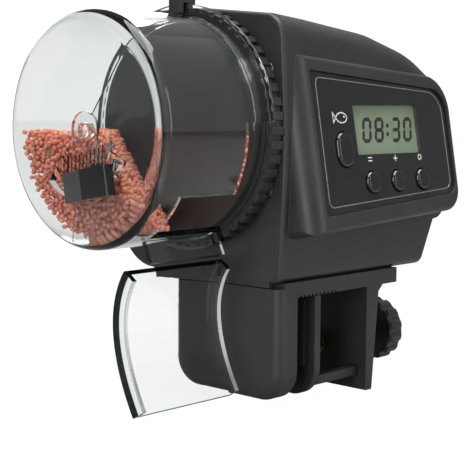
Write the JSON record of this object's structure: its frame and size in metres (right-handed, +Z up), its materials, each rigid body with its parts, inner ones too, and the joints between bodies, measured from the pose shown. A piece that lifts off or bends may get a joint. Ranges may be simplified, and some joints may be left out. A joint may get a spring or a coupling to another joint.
{
  "type": "automatic fish feeder",
  "caption": "Automatic aquarium feeder with a clear turning food drum, LCD control pod and a screw clamp for the tank rim.",
  "frame": {"origin": "middle of the rim seat: the underside of the clamp's top plate, mid way between the jaws", "axes": "+Z up; X along the drum's axis with the drum towards -X; -Y is the side with the control panel"},
  "size_m": [0.1232, 0.0777, 0.1144],
  "materials": {
    "black_abs": "fine satin moulded texture",
    "gloss_black": "polished",
    "key_black": "smooth, slightly domed",
    "clear_ps": "clear polystyrene, polished",
    "lcd_pane": "clear acrylic",
    "lcd_grey": "grey-green liquid crystal display",
    "white_plastic": "natural",
    "board_green": "solder mask",
    "chip_black": "moulded",
    "nylon": "natural nylon",
    "steel": "zinc plated",
    "brass": "turned",
    "rubber": "soft",
    "cell_skin": "plain printed sleeve"
  },
  "bodies": {
    "housing": {"end_frame": "black_abs", "main_shell": "black_abs", "control_panel": "gloss_black", "lcd_window": "lcd_pane", "lcd_glass": "lcd_grey", "lcd_holder": "white_plastic", "circuit_board": "board_green", "board_screws": "steel", "button_switches": "chip_black", "controller_chip": "chip_black", "shaft_bush": "nylon", "gear_plate": "nylon", "gear_plate_screws": "steel", "idler_pin": "steel", "home_switch": "chip_black", "motor_can": "steel", "motor_end_cap": "white_plastic", "housing_screws": "steel", "battery_cells": "cell_skin", "battery_contacts": "steel", "battery_springs": "steel", "clamp_bracket": "black_abs", "clamp_screws": "steel", "fixed_jaw_pad": "rubber", "clamp_nut": "brass", "food_chute": "clear_ps"},
    "drum": {"food_drum": "clear_ps", "turntable": "black_abs", "drive_gear": "nylon", "shaft_screw": "steel"},
    "portion": {"portion_slider": "gloss_black", "portion_gate": "clear_ps"},
    "idler": {"idler_gear": "nylon"},
    "rotor": {"motor_pinion": "nylon", "motor_shaft": "steel"},
    "feed_key": {"feed_button": "key_black"},
    "mode_key": {"mode_button": "key_black"},
    "adjust_key": {"adjust_button": "key_black"},
    "set_key": {"set_button": "key_black"},
    "battery_door": {"battery_cover": "black_abs"},
    "jaw": {"moving_jaw": "black_abs", "moving_jaw_pad": "rubber"},
    "screw": {"clamp_screw": "black_abs", "clamp_knob": "black_abs"}
  },
  "joints": [
    {"name": "drum_spin", "type": "hinge", "parent": "housing", "child": "drum", "pos_m": [-0.0117, 0.01125, 0.0465], "axis": [1, 0, 0], "continuous": true},
    {"name": "portion_adjust", "type": "hinge", "parent": "drum", "child": "portion", "pos_m": [-0.0517, 0.01125, 0.0465], "axis": [1, 0, 0], "range_deg": [-34, 34]},
    {"name": "idler_spin", "type": "hinge", "parent": "housing", "child": "idler", "pos_m": [-0.0032, 0.01125, 0.0249], "axis": [1, 0, 0], "continuous": true},
    {"name": "rotor_spin", "type": "hinge", "parent": "housing", "child": "rotor", "pos_m": [0.0083, -0.00255, 0.0249], "axis": [1, 0, 0], "continuous": true},
    {"name": "battery_cover_slide", "type": "slide", "parent": "housing", "child": "battery_door", "axis": [1, 0, 0], "range_m": [0, 0.05]},
    {"name": "jaw_travel", "type": "slide", "parent": "housing", "child": "jaw", "axis": [1, 0, 0], "range_m": [-0.006, 0.017]},
    {"name": "screw_turn", "type": "hinge", "parent": "jaw", "child": "screw", "pos_m": [0.0183, 0, -0.019], "axis": [1, 0, 0], "range_deg": [-721, 2041]},
    {"name": "feed_press", "type": "slide", "parent": "housing", "child": "feed_key", "axis": [0, 0.9833, -0.1822], "range_m": [0, 0.0008], "stiffness_N_per_m": 600},
    {"name": "mode_press", "type": "slide", "parent": "housing", "child": "mode_key", "axis": [0, 0.9833, -0.1822], "range_m": [0, 0.0008], "stiffness_N_per_m": 600},
    {"name": "adjust_press", "type": "slide", "parent": "housing", "child": "adjust_key", "axis": [0, 0.9833, -0.1822], "range_m": [0, 0.0008], "stiffness_N_per_m": 600},
    {"name": "set_press", "type": "slide", "parent": "housing", "child": "set_key", "axis": [0, 0.9833, -0.1822], "range_m": [0, 0.0008], "stiffness_N_per_m": 600}
  ],
  "couplings": [
    {"joint": "idler_spin", "follows": "drum_spin", "ratio": -5},
    {"joint": "rotor_spin", "follows": "drum_spin", "ratio": 18},
    {"joint": "screw_turn", "follows": "jaw_travel", "rad_per_m": 2094.4}
  ]
}
